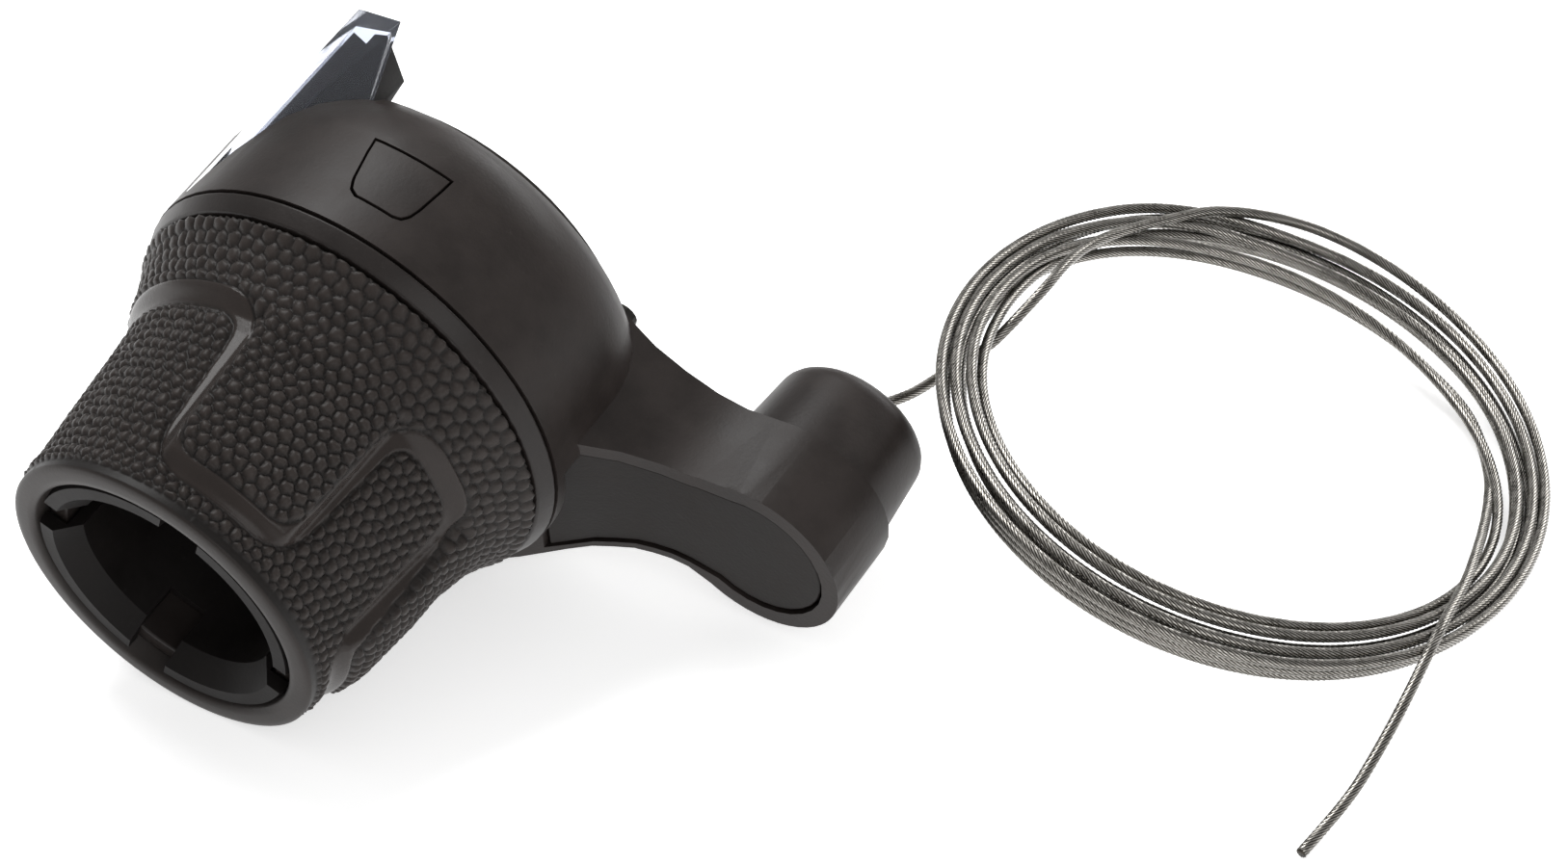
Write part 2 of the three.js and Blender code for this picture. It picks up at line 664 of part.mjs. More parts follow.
function coilGroup() {
  const up = new THREE.Vector3(
    Math.sin(COIL_TILT) * Math.cos(COIL_LEAN),
    Math.sin(COIL_TILT) * Math.sin(COIL_LEAN),
    Math.cos(COIL_TILT),
  );
  const major = new THREE.Vector3(-0.13, 0.985, -0.11).projectOnPlane(up).normalize();
  const minor = new THREE.Vector3().crossVectors(major, up);
  const group = new THREE.Group();
  group.quaternion.setFromRotationMatrix(new THREE.Matrix4().makeBasis(major, up, minor));
  group.position.set(...COIL_CENTRE);
  return group;
}

function coilRing() {
  const points = [];
  for (let i = 0; i < 12; i += 1) {
    const t = deg(30 * i);
    points.push([COIL_A + COIL_HALF_WIDTH * Math.cos(t), COIL_HALF_HEIGHT * Math.sin(t)]);
  }
  const ring = turned(points, 64);
  const place = ring.attributes.position;
  for (let i = 0; i < place.count; i += 1) {
    const [x, z] = [place.getX(i), place.getZ(i)];
    const angle = Math.atan2(z, x);
    const out = (Math.hypot(x, z) - COIL_A) * (1 + COIL_FAN * Math.cos(angle) ** 2);
    place.setX(i, (COIL_A + out) * Math.cos(angle));
    place.setZ(i, (COIL_B + out) * Math.sin(angle));
  }
  return ring;
}

// ---- Small parts of the cable arm ----
function pulleyGroove() {
  const r = PULLEY_R - CABLE_R - 0.2;
  const points = [[r, -0.8], [6, -1], [6, 1], [r, 0.8]].map(([x, y]) => new THREE.Vector2(x, y));
  points.push(points[0].clone());
  return new THREE.LatheGeometry(points, 24);
}

function casingStop() {
  const stop = tube(CABLE_R + GAP, 2.8, 54.3, 56, 20);
  stop.translate(ARM_LENGTH, 0, 0);
  return stop;
}

// ---- Assembly ----
const shifter = new THREE.Group();
shifter.position.set(ORIGIN_X, ORIGIN_Y, 0);

const onBar = new THREE.Group(); // everything that is square to the handlebar
onBar.position.z = MOUTH_HEIGHT;
onBar.rotation.x = TILT;
shifter.add(onBar);

const arm = new THREE.Group(); // everything that is square to the cable arm
arm.rotation.y = DIP;
onBar.add(arm);

addMesh(onBar, 'grip_rubber', gripRubber(), rubber());
addMesh(onBar, 'grip_core', solid(gripCore()), blackPlastic());
addMesh(onBar, 'cable_drum', solid(cableDrum()).subtract(solid(nipplePocket(GAP))), whitePlastic());
addMesh(onBar, 'index_ring', indexRing(), steel());
addMesh(onBar, 'indicator_cam', indicatorCam(), whitePlastic());
addMesh(onBar, 'cable_nipple', solid(nipplePocket(0)), steel());
addMesh(onBar, 'cable_wrap', cableWrap(), steel());

addMesh(onBar, 'main_housing', mainHousing(), blackPlastic());
addMesh(onBar, 'inner_sleeve', innerSleeve(), innerPlastic());
addMesh(onBar, 'rear_plate', rearPlate(), blackPlastic());
SCREWS.forEach((angle, i) => addMesh(onBar, `rear_screw_${i + 1}`, rearScrew(angle), steel()));
addMesh(onBar, 'clamp_band', clampBand(), steel());
addMesh(onBar, 'clamp_bolt', clampBolt(), steel());
addMesh(onBar, 'clamp_nut', clampNut(), steel());
addMesh(onBar, 'dust_seal', solid(dustSeal()), rubber());
addMesh(onBar, 'window_cover', windowCover(), clear());
addMesh(onBar, 'dial_plate', dialPlate(), innerPlastic());
addMesh(onBar, 'indicator_needle', indicatorNeedle(), plastic(0xd9541e, 0.45));
addMesh(onBar, 'cable_hatch', cableHatch(), blackPlastic());
addMesh(onBar, 'detent_plunger', detentPlunger(), steel());
addMesh(onBar, 'detent_spring', detentSpring(), steel());

addMesh(arm, 'arm_cover', armCover(), blackPlastic());
const pulley = solid(pulleyBar(5, 2.6)).subtract(solid(pulleyBar(1.5, 4)));
addMesh(arm, 'guide_pulley', pulley.subtract(solid(onPulley(pulleyGroove()))), whitePlastic());
addMesh(arm, 'pulley_axle', solid(pulleyBar(1.2, 14.8, 16)), steel());
addMesh(arm, 'casing_stop', solid(casingStop()), steel());
addMesh(arm, 'cable_run', cableRun(), steel());

addMesh(shifter, 'cable_strand', cable(STRAND, 14), steel());
const coil = coilGroup();
addMesh(coil, 'cable_coil', solid(coilRing()), steel());
shifter.add(coil);
addMesh(shifter, 'cable_tail', cable(TAIL, 22), steel());

export default shifter;
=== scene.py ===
import json
import math

import bmesh
import bpy
import numpy as np
from mathutils import Matrix, Vector


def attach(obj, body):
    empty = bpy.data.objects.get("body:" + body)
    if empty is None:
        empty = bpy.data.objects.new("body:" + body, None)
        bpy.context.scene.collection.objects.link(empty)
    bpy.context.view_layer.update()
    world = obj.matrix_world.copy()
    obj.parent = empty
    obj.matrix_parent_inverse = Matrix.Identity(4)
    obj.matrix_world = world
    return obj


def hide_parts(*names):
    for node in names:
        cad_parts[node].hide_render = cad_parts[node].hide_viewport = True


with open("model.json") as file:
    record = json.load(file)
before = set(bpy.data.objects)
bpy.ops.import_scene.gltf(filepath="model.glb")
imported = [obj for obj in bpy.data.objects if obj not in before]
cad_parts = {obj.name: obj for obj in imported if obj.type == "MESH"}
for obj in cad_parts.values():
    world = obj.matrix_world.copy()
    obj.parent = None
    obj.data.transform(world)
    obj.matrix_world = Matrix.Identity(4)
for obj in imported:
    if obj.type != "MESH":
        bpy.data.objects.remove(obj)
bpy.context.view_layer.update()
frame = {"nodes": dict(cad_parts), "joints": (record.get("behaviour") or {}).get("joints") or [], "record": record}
MM = 0.001

# ---- Frames of reference: the grip's mouth, and the handlebar's axis ----
twist = next(j for j in frame["joints"] if j["name"] == "grip_twist")
MOUTH = np.array(twist["pos_m"])
AXIS = np.array(twist["axis"]) / np.linalg.norm(twist["axis"])
SIDE = np.array((1.0, 0.0, 0.0))
RISE = np.cross(SIDE, AXIS)


def local(x, y, z):
    """Points given square to the handlebar in mm from the mouth, in metres in the row frame."""
    points = np.multiply.outer(x, SIDE) + np.multiply.outer(y, AXIS) + np.multiply.outer(z, RISE)
    return MOUTH + MM * points


def polar(radius, y, angle):
    """The same, from a radius, a station along the bar and an angle in degrees."""
    turn = np.radians(angle)
    return local(radius * np.cos(turn), y, radius * np.sin(turn))


def smoothstep(t):
    t = np.clip(t, 0.0, 1.0)
    return t * t * (3.0 - 2.0 * t)


# ---- Materials ----
class Nodes:
    """A material's node tree with short calls for the nodes used here."""

    def __init__(self, name):
        self.material = bpy.data.materials.new(name)
        self.material.use_nodes = True
        self.tree = self.material.node_tree
        self.shader = self.tree.nodes["Principled BSDF"]
        self.place = self.add("ShaderNodeTexCoord").outputs["Object"]

    def add(self, kind):
        return self.tree.nodes.new(kind)

    def link(self, a, b):
        self.tree.links.new(a, b)

    def noise(self, scale, detail=4.0, roughness=0.55, stretch=None):
        node = self.add("ShaderNodeTexNoise")
        node.inputs["Scale"].default_value = scale
        node.inputs["Detail"].default_value = detail
        node.inputs["Roughness"].default_value = roughness
        place = self.place
        if stretch:
            mapping = self.add("ShaderNodeMapping")
            mapping.inputs["Scale"].default_value = stretch
            self.link(self.place, mapping.inputs["Vector"])
            place = mapping.outputs["Vector"]
        self.link(place, node.inputs["Vector"])
        return node.outputs["Fac"]

    def ramp(self, value, stops):
        node = self.add("ShaderNodeValToRGB")
        elements = node.color_ramp.elements
        while len(elements) < len(stops):
            elements.new(0.5)
        for element, (position, colour) in zip(elements, stops):
            element.position = position
            element.color = (*colour, 1.0)
        self.link(value, node.inputs["Fac"])
        return node.outputs["Color"]

    def spread(self, value, low, high, start=0.3, end=0.7):
        node = self.add("ShaderNodeMapRange")
        node.inputs["From Min"].default_value = start
        node.inputs["From Max"].default_value = end
        node.inputs["To Min"].default_value = low
        node.inputs["To Max"].default_value = high
        self.link(value, node.inputs["Value"])
        return node.outputs["Result"]

    def mix(self, factor, a, b):
        node = self.add("ShaderNodeMix")
        node.data_type = "RGBA"
        self.link(factor, node.inputs["Factor"])
        self.link(a, node.inputs["A"])
        self.link(b, node.inputs["B"])
        return node.outputs["Result"]

    def bump(self, heights):
        """Bumps laid on each other, each (height output, distance in metres, strength)."""
        normal = None
        for height, distance, strength in heights:
            node = self.add("ShaderNodeBump")
            node.inputs["Distance"].default_value = distance
            node.inputs["Strength"].default_value = strength
            self.link(height, node.inputs["Height"])
            if normal is not None:
                self.link(normal, node.inputs["Normal"])
            normal = node.outputs["Normal"]
        self.link(normal, self.shader.inputs["Normal"])


def tones(colour, *factors):
    return [tuple(c * f for c in colour) for f in factors]


def moulded(name, colour, rough, grain=1.0, specular=0.5):
    """Moulded plastic: a fine spark-eroded grain, slow patches of gloss and a little dust."""
    n = Nodes(name)
    dark, light = tones(colour, 0.82, 1.2)
    cloud = n.noise(160.0, 5.0)
    fine = n.noise(2600.0, 3.0)
    body = n.ramp(cloud, [(0.35, dark), (0.65, light)])
    dust = n.ramp(n.noise(900.0, 6.0, 0.7), [(0.62, (0.0, 0.0, 0.0)), (0.8, (1.0, 1.0, 1.0))])
    pale = tuple(c * 1.2 + 0.004 for c in colour)
    palest = tuple(c * 1.4 + 0.008 for c in colour)
    pale = n.ramp(cloud, [(0.0, pale), (1.0, palest)])
    n.link(n.mix(dust, body, pale), n.shader.inputs["Base Color"])
    n.link(n.spread(cloud, rough - 0.05, rough + 0.06), n.shader.inputs["Roughness"])
    n.shader.inputs["Specular IOR Level"].default_value = specular
    n.bump([(fine, 0.00003 * grain, 0.5), (n.noise(700.0, 2.0), 0.00004 * grain, 0.3)])
    return n.material


def rubber(name, colour, rough):
    """Moulded rubber: its pebbles are in the mesh; the gaps between them are painted darker as shade and their
    tops painted lighter as highlight. Its band is smoother, and a little lighter as a painted sheen.
    """
    n = Nodes(name)
    high = n.add("ShaderNodeAttribute")
    high.attribute_name = "pebble"
    # Painted light: by the pebble height, the gaps between the pebbles are painted darker as shade and the pebble
    # tops lighter as highlight.
    floor, top = tones(colour, 0.35, 1.25)
    cloud = n.noise(220.0, 5.0)
    gap_painted_shade = n.ramp(cloud, [(0.3, tones(floor, 0.85)[0]), (0.7, tones(floor, 1.2)[0])])
    top_painted_highlight = n.ramp(cloud, [(0.3, tones(top, 0.85)[0]), (0.7, tones(top, 1.15)[0])])
    band = n.add("ShaderNodeAttribute")
    band.attribute_name = "band"
    # The band is painted a little lighter than the pebbled rubber around it, a painted sheen, besides its lower
    # roughness.
    band_tone_and_sheen = n.ramp(cloud, [(0.3, tones(colour, 1.0)[0]), (0.7, tones(colour, 1.3)[0])])
    pebbled = n.mix(high.outputs["Fac"], gap_painted_shade, top_painted_highlight)
    n.link(n.mix(band.outputs["Fac"], pebbled, band_tone_and_sheen), n.shader.inputs["Base Color"])
    n.link(n.spread(band.outputs["Fac"], rough, rough - 0.2, 0.0, 1.0), n.shader.inputs["Roughness"])
    n.shader.inputs["Specular IOR Level"].default_value = 0.2
    n.shader.inputs["Sheen Weight"].default_value = 0.04
    n.bump([(n.noise(2400.0, 4.0, 0.65), 0.00003, 0.6)])
    return n.material


def metal(name, colour, rough, stretch=None):
    n = Nodes(name)
    n.shader.inputs["Metallic"].default_value = 1.0
    streak = n.noise(900.0, 4.0, 0.6, stretch)
    dark, light = tones(colour, 0.72, 1.12)
    n.link(n.ramp(streak, [(0.3, dark), (0.7, light)]), n.shader.inputs["Base Color"])
    n.link(n.spread(streak, rough - 0.06, rough + 0.1), n.shader.inputs["Roughness"])
    n.bump([(streak, 0.00002, 0.4)])
    return n.material


def clear(name):
    n = Nodes(name)
    n.shader.inputs["Transmission Weight"].default_value = 0.97
    n.shader.inputs["IOR"].default_value = 1.25
    cloud = n.noise(120.0, 3.0)
    tint = n.ramp(cloud, [(0.3, (0.74, 0.77, 0.86)), (0.7, (0.84, 0.87, 0.94))])
    n.link(tint, n.shader.inputs["Base Color"])
    n.link(n.spread(n.noise(1800.0, 5.0, 0.7), 0.03, 0.1), n.shader.inputs["Roughness"])
    n.bump([(n.noise(60.0, 2.0), 0.0001, 0.15)])
    return n.material


def paint(name, colour, rough=0.45):
    """Ink or bright plastic with a faint mottle."""
    n = Nodes(name)
    cloud = n.noise(1500.0, 4.0)
    dark, light = tones(colour, 0.88, 1.08)
    n.link(n.ramp(cloud, [(0.3, dark), (0.7, light)]), n.shader.inputs["Base Color"])
    n.link(n.spread(cloud, rough - 0.06, rough + 0.06), n.shader.inputs["Roughness"])
    n.bump([(cloud, 0.00002, 0.3)])
    return n.material


RUBBER = rubber("pebbled rubber", (0.0225, 0.0175, 0.0155), 0.44)
SEAL = moulded("seal rubber", (0.012, 0.012, 0.012), 0.6)
NYLON = moulded("satin nylon", (0.0225, 0.0178, 0.0162), 0.42, specular=0.21)
FLANGE = moulded("grip plastic", (0.018, 0.0144, 0.0132), 0.38, specular=0.24)
COVER = moulded("cover nylon", (0.013, 0.0104, 0.0095), 0.42, specular=0.13)
# The inner plastic is painted darker than the other black plastics, a painted shade for the deep bore of the
# mouth.
INNER = moulded("inner plastic", (0.0075, 0.0062, 0.0058), 0.5, specular=0.12)
ACETAL = paint("white acetal", (0.7, 0.68, 0.63))
CLEAR = clear("clear cover")
ORANGE = paint("orange pointer", (0.78, 0.13, 0.02))
WHITE_INK = paint("white ink", (0.75, 0.75, 0.74))
STEEL = metal("zinc steel", (0.6, 0.59, 0.57), 0.34)
BLACK_STEEL = metal("blackened steel", (0.035, 0.033, 0.031), 0.42)


def wire_metal():
    """Drawn steel wire: the valleys between the strands are painted dark as shade, and their crowns carry the
    steel's own bright colour.
    """
    n = Nodes("stranded steel")
    crown = n.add("ShaderNodeAttribute")
    crown.attribute_name = "crown"
    n.shader.inputs["Metallic"].default_value = 1.0
    blotch = n.noise(700.0, 5.0, 0.6)
    # Painted shade: the valleys between the wires are painted near black.
    valley_painted_shade = n.ramp(blotch, [(0.3, (0.03, 0.027, 0.022)), (0.7, (0.06, 0.053, 0.044))])
    bright = n.ramp(blotch, [(0.3, (0.46, 0.44, 0.405)), (0.7, (0.72, 0.7, 0.66))])
    top = n.spread(crown.outputs["Fac"], 0.0, 1.0, 0.25, 0.95)
    n.link(n.mix(top, valley_painted_shade, bright), n.shader.inputs["Base Color"])
    n.link(n.spread(blotch, 0.24, 0.36), n.shader.inputs["Roughness"])
    n.bump([(n.noise(3000.0, 3.0), 0.00001, 0.4)])
    return n.material


WIRE = wire_metal()


# ---- Pieces ----
def link_mesh(name, mesh, material):
    piece = bpy.data.objects.new(name, mesh)
    bpy.context.scene.collection.objects.link(piece)
    mesh.materials.clear()
    mesh.materials.append(material)
    return piece


def mesh_piece(name, points, faces, material):
    mesh = bpy.data.meshes.new(name)
    mesh.from_pydata(np.asarray(points).tolist(), [], np.asarray(faces).tolist())
    mesh.validate()
    mesh.shade_smooth()
    return link_mesh(name, mesh, material)


def grid_faces(rows, columns, closed_rows=False):
    """Quads of a grid whose columns close round, and whose rows close too when asked."""
    r = np.arange(rows if closed_rows else rows - 1)[:, None]
    c = np.arange(columns)[None, :]
    a = r * columns + c
    b = r * columns + (c + 1) % columns
    up = (r + 1) % rows
    return np.stack([a, b, up * columns + (c + 1) % columns, up * columns + c], -1).reshape(-1, 4)


def carry(piece, body, slot, *nodes):
    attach(piece, body)
    if nodes:
        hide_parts(*nodes)
    return piece


def rounded(node, body, slot, material, width=0.25, segments=2, sharp=32.0):
    """A copy of a CAD node with its flat facets joined, its edges rounded and its faces shaded smooth."""
    mesh = frame["nodes"][node].data.copy()
    mesh.name = node + "_moulded"
    work = bmesh.new()
    work.from_mesh(mesh)
    bmesh.ops.remove_doubles(work, verts=work.verts, dist=0.000002)
    bmesh.ops.dissolve_limit(work, angle_limit=math.radians(0.6), verts=work.verts, edges=work.edges)
    work.to_mesh(mesh)
    work.free()
    mesh.shade_smooth()
    piece = link_mesh(node + "_moulded", mesh, material)
    bevel = piece.modifiers.new("round", "BEVEL")
    bevel.width = width * MM
    bevel.segments = segments
    bevel.limit_method = "ANGLE"
    bevel.angle_limit = math.radians(sharp)
    bevel.use_clamp_overlap = True
    bevel.miter_outer = "MITER_ARC"
    smooth = piece.modifiers.new("shade", "WEIGHTED_NORMAL")
    smooth.mode = "FACE_AREA_WITH_ANGLE"
    smooth.weight = 60
    evaluated = piece.evaluated_get(bpy.context.evaluated_depsgraph_get())
    final = bpy.data.meshes.new_from_object(evaluated)
    piece.modifiers.clear()
    piece.data = final
    return carry(piece, body, slot, node)


# ---- Camera and light ----
def make_camera():
    data = bpy.data.cameras.new("camera")
    data.sensor_fit = "HORIZONTAL"
    data.sensor_width = 36.0
    data.angle = math.radians(20.494)
    data.clip_start = 0.01
    data.clip_end = 20.0
    camera = bpy.data.objects.new("camera", data)
    bpy.context.scene.collection.objects.link(camera)
    right = Vector((0.83948, 0.54338, 0.0))
    back = Vector((0.42501, -0.65661, 0.62307))
    turn = Matrix((right, back.cross(right), back)).transposed()
    spot = Vector(MOUTH) + Vector((0.22745, -0.23834, 0.27897))
    camera.matrix_world = Matrix.Translation(spot) @ turn.to_4x4()
    bpy.context.scene.camera = camera


def area_light(name, spot, target, size, power, colour=(1.0, 1.0, 1.0)):
    data = bpy.data.lights.new(name, "AREA")
    data.shape = "RECTANGLE"
    data.size, data.size_y = size
    data.energy = power
    data.color = colour
    lamp = bpy.data.objects.new(name, data)
    bpy.context.scene.collection.objects.link(lamp)
    lamp.location = spot
    lamp.rotation_euler = (Vector(target) - Vector(spot)).to_track_quat("-Z", "Y").to_euler()


def make_studio():
    world = bpy.data.worlds.new("studio")
    world.use_nodes = True
    world.node_tree.nodes["Background"].inputs["Color"].default_value = (1.0, 1.0, 1.0, 1.0)
    world.node_tree.nodes["Background"].inputs["Strength"].default_value = 0.45
    bpy.context.scene.world = world
    bpy.context.scene.view_settings.view_transform = "Standard"
    area_light("key", (-0.35, 0.15, 0.75), (0.02, 0.0, 0.02), (0.5, 0.35), 4.6)
    area_light("fill", (0.7, -0.5, 0.6), (0.03, 0.03, 0.01), (0.6, 0.6), 2.0)
    area_light("rim", (0.1, 0.8, 0.35), (0.03, 0.0, 0.02), (0.7, 0.25), 3.0)
    n = Nodes("paper floor")
    n.link(
        n.ramp(n.noise(30.0, 4.0), [(0.3, (0.93, 0.93, 0.93)), (0.7, (0.95, 0.95, 0.95))]),
        n.shader.inputs["Base Color"],
    )
    n.shader.inputs["Roughness"].default_value = 0.9
    n.shader.inputs["Specular IOR Level"].default_value = 0.1
    n.shader.inputs["Emission Color"].default_value = (1.0, 1.0, 1.0, 1.0)
    n.shader.inputs["Emission Strength"].default_value = 0.58
    n.bump([(n.noise(400.0, 5.0), 0.00005, 0.2)])
    angles = np.linspace(0.0, 2.0 * math.pi, 96, endpoint=False)
    rows = [(0.02, 0.0), (0.6, 0.0), (1.6, 0.0), (3.0, 0.0)]
    points = [(r * math.cos(a), r * math.sin(a), z) for r, z in rows for a in angles]
    faces = grid_faces(len(rows), len(angles)).tolist() + [list(range(len(angles)))]
    mesh = bpy.data.meshes.new("floor")
    mesh.from_pydata(points, [], faces)
    link_mesh("floor", mesh, n.material)


make_camera()
make_studio()

# ---- The cable: a strand from the barrel, about eight and a quarter turns and a bare end ----
WIRE_D = 1.2
COIL_CENTRE = (73.5, 88.8, 11.15)
COIL_TILT = math.radians(16.3)
COIL_LEAN = math.radians(30.0)
COIL_LONG = 35.1
COIL_SHORT = 30.8


def coil_axes():
    up = np.array(
        (
            math.sin(COIL_TILT) * math.cos(COIL_LEAN),
            math.sin(COIL_TILT) * math.sin(COIL_LEAN),
            math.cos(COIL_TILT),
        )
    )
    along = np.array((-0.13, 0.985, -0.11))
    along -= up * (along @ up)
    along /= np.linalg.norm(along)
    return -np.cross(along, up), along, up


LEFT, AWAY, UP = coil_axes()


def coil_point(angle, out, height):
    """Where the wire is at an angle round the coil, and at a distance out from its line and up, in mm."""
    turn = np.radians(angle)
    return (
        np.array(COIL_CENTRE)
        + np.multiply.outer((COIL_SHORT + out) * np.cos(turn), LEFT)
        + np.multiply.outer((COIL_LONG + out) * np.sin(turn), AWAY)
        + np.multiply.outer(height, UP)
    )


def hermite(knots, values, at):
    """A smooth line through the knots with no overshoot between them."""
    knots = np.asarray(knots, float)
    values = np.asarray(values, float)
    step = np.diff(knots)
    slope = np.diff(values) / step
    tangent = np.zeros(len(knots))
    same = slope[:-1] * slope[1:] > 0
    harmonic = np.zeros(len(slope) - 1)
    harmonic[same] = 2.0 / (1.0 / slope[:-1][same] + 1.0 / slope[1:][same])
    tangent[1:-1] = harmonic
    i = np.clip(np.searchsorted(knots, at) - 1, 0, len(step) - 1)
    t = (at - knots[i]) / step[i]
    a = (1 + 2 * t) * (1 - t) ** 2
    b = t * (1 - t) ** 2
    c = t * t * (3 - 2 * t)
    d = t * t * (t - 1)
    return a * values[i] + b * step[i] * tangent[i] + c * values[i + 1] + d * step[i] * tangent[i + 1]


def fan(angle):
    """The turns lie close together at the two ends of the coil and fan out along its sides."""
    return 1.0 + 1.05 * np.sin(np.radians(angle)) ** 2


def wind():
    """The coil's own path. Turns go round at a slot in the bundle, and pass to the next slot as they go."""
    turns = [
        (40, -1.2, 2.5), (60, 0.9, 2.45), (85, 1.95, 1.9), (120, 1.95, 1.3),
        (400, 1.95, 1.27), (440, 0.7, 1.27), (760, 0.7, 1.27), (800, -0.8, 1.27),
        (1090, -0.9, 1.27), (1150, -2.2, 1.0), (1210, -2.3, 0.0), (1430, -2.2, 0.0),
        (1490, -0.15, 0.0), (1790, -0.05, 0.0), (1850, 1.5, 0.0), (2130, 1.55, 0.0),
        (2180, 1.9, -0.3), (2240, 1.6, -1.1), (2290, 1.2, -1.27), (2360, 0.9, -1.27),
        (2640, 0.8, -1.27), (2700, -0.6, -1.27), (2900, -0.75, -1.27),
        (2960, -1.5, -1.27), (3010, -1.2, -1.27),
    ]
    knots, out, height = zip(*turns)
    angle = np.arange(40.0, 3010.1, 3.0)
    drift = 0.5 * (fan(angle) - 1.0) * np.sin(0.773 * np.radians(angle) + 1.0)
    place = hermite(knots, out, angle) * fan(angle) + drift
    return angle, place, hermite(knots, height, angle)


def bend_through(points, per_span=14):
    """A centripetal curve through a few points."""
    p = np.vstack([2 * points[0] - points[1], points, 2 * points[-1] - points[-2]])
    line = []
    for i in range(1, len(p) - 2):
        k = [0.0]
        for j in range(i - 1, i + 2):
            k.append(k[-1] + np.linalg.norm(p[j + 1] - p[j]) ** 0.5)
        for t in np.linspace(k[1], k[2], per_span, endpoint=False):
            a = [
                ((k[j + 1] - t) * p[i - 1 + j] + (t - k[j]) * p[i + j]) / (k[j + 1] - k[j])
                for j in range(3)
            ]
            b = [((k[j + 2] - t) * a[j] + (t - k[j]) * a[j + 1]) / (k[j + 2] - k[j]) for j in range(2)]
            line.append(((k[2] - t) * b[0] + (t - k[1]) * b[1]) / (k[2] - k[1]))
    line.append(points[-1])
    return np.array(line)


def even(line, step):
    """The same line with its points a set step apart."""
    run = np.r_[0.0, np.cumsum(np.linalg.norm(np.diff(line, axis=0), axis=1))]
    at = np.linspace(0.0, run[-1], int(round(run[-1] / step)) + 1)
    return np.stack([np.interp(at, run, line[:, k]) for k in range(3)], -1)


def soften(line, passes):
    """Rounds a line's small kinks, and keeps its ends."""
    for _ in range(passes):
        line[1:-1] = 0.25 * line[:-2] + 0.5 * line[1:-1] + 0.25 * line[2:]
    return line


def cable_route():
    strand = [
        (41.3, 63.9, 16.05), (42, 66.3, 16.2), (43.4, 69.4, 15.9),
        (44.3, 73.4, 15.7), (44.9, 77.6, 15.6),
    ]
    climb = [
        (-8, -2.4, -3.0), (-4, -3.4, -1.2), (1, -4.1, 0.6),
        (8, -4.4, 2.1), (16, -3.7, 2.5), (26, -2.7, 2.55),
    ]
    up_over = [coil_point(*knot) for knot in climb]
    angle, out, height = wind()
    coil = coil_point(angle, out, height)
    leave = [
        (3029, -2.9, -1.0), (3041, -3.6, -0.3), (3053, -3.8, 0.9), (3064, -3.2, 2.0), (3074, -1.8, 2.5),
        (3082, -0.3, 2.55), (3090, 2.1, 2.45),
    ]
    over = [coil_point(*knot) for knot in leave]
    tail = [(104.9, 63.7, 6), (105, 59, 4.3), (104.9, 54.1, 2.6), (104.3, 50.1, 1.3), (103.8, 45.6, 0.65)]
    first = bend_through(np.array([*strand, *up_over, coil[0], coil[4]]))
    last = bend_through(np.array([coil[-8], coil[-1], *over, *tail]))
    line = np.vstack([first[:-1], coil[4:-8], last])
    return soften(even(line, 0.7), 6)


def cable_mesh(line):
    """Stranded wire round the route: twelve outer wires, laid at their own pitch along it."""
    wires, per_wire, lay = 12, 2, 7.2
    ways = np.gradient(line, axis=0)
    ways /= np.linalg.norm(ways, axis=1)[:, None]
    side = np.cross(ways[0], (0.0, 0.0, 1.0))
    side /= np.linalg.norm(side)
    sides = []
    for way in ways:
        side = side - way * (side @ way)
        side /= np.linalg.norm(side)
        sides.append(side)
    sides = np.array(sides)
    ups = np.cross(ways, sides)
    run = np.r_[0.0, np.cumsum(np.linalg.norm(np.diff(line, axis=0), axis=1))]
    columns = wires * per_wire
    k = np.arange(columns)
    turn = 2 * math.pi * k[None, :] / columns + 2 * math.pi * run[:, None] / lay
    radius = np.where(k % 2 == 0, WIRE_D / 2, WIRE_D / 2 - 0.1)[None, :, None]
    ring = sides[:, None, :] * np.cos(turn)[..., None] + ups[:, None, :] * np.sin(turn)[..., None]
    points = (line[:, None, :] + radius * ring).reshape(-1, 3)
    faces = grid_faces(len(line), columns).tolist()
    faces.append(list(range(columns))[::-1])
    faces.append([(len(line) - 1) * columns + i for i in range(columns)])
    crown = np.tile(np.where(k % 2 == 0, 1.0, 0.0), len(line))
    return points, faces, crown


def make_cable():
    route = cable_route()
    points, faces, crown = cable_mesh(route)
    origin = np.array((MOUTH[0], MOUTH[1], 0.0))
    mesh = bpy.data.meshes.new("shift_cable")
    mesh.from_pydata((origin + MM * points).tolist(), [], faces)
    mesh.shade_smooth()
    # The crown mask also places the painted shade in the valleys between the wires.
    attribute = mesh.attributes.new("crown", "FLOAT", "POINT")
    attribute.data.foreach_set("value", crown.astype(np.float32))
    piece = link_mesh("shift_cable", mesh, WIRE)
    carry(piece, "housing", "cable_steel", "cable_strand", "cable_coil", "cable_tail")


make_cable()

# ---- The rubber of the grip ----
PADS = (61.0, -31.0, 195.0)
LOW = ((0, 18.0), (0.6, 18.2), (3.5, 18.0), (9, 18.6), (16.5, 19.3), (20, 19.7), (23, 20.3))
HIGH = ((3.5, 18.0), (5.5, 19.2), (8, 20.0), (15, 20.6), (20, 20.7), (25, 21.9), (28, 23.2), (30, 24.5))
RUBBER_END = 29.9
RUBBER_BORE = 15.4
BAND_HALF = 1.02
MOULD_LINES = (63.0, 134.0, 243.0, 314.0)
UNROLL = 19.9  # radius at which the rubber's pattern is laid out flat


def base_radius(y, angle):
    low = np.interp(y, *zip(*LOW))
    high = np.interp(y, *zip(*HIGH))
    off = np.min([np.abs((angle - middle + 540.0) % 360.0 - 180.0) for middle in PADS], axis=0)
    side = smoothstep((26.0 - off) / 5.0)
    flange = smoothstep((y - 21.5) / 2.0)
    raised = np.maximum(side * smoothstep((y - 3.5) / 2.0), flange)
    return low * (1 - raised) + high * raised


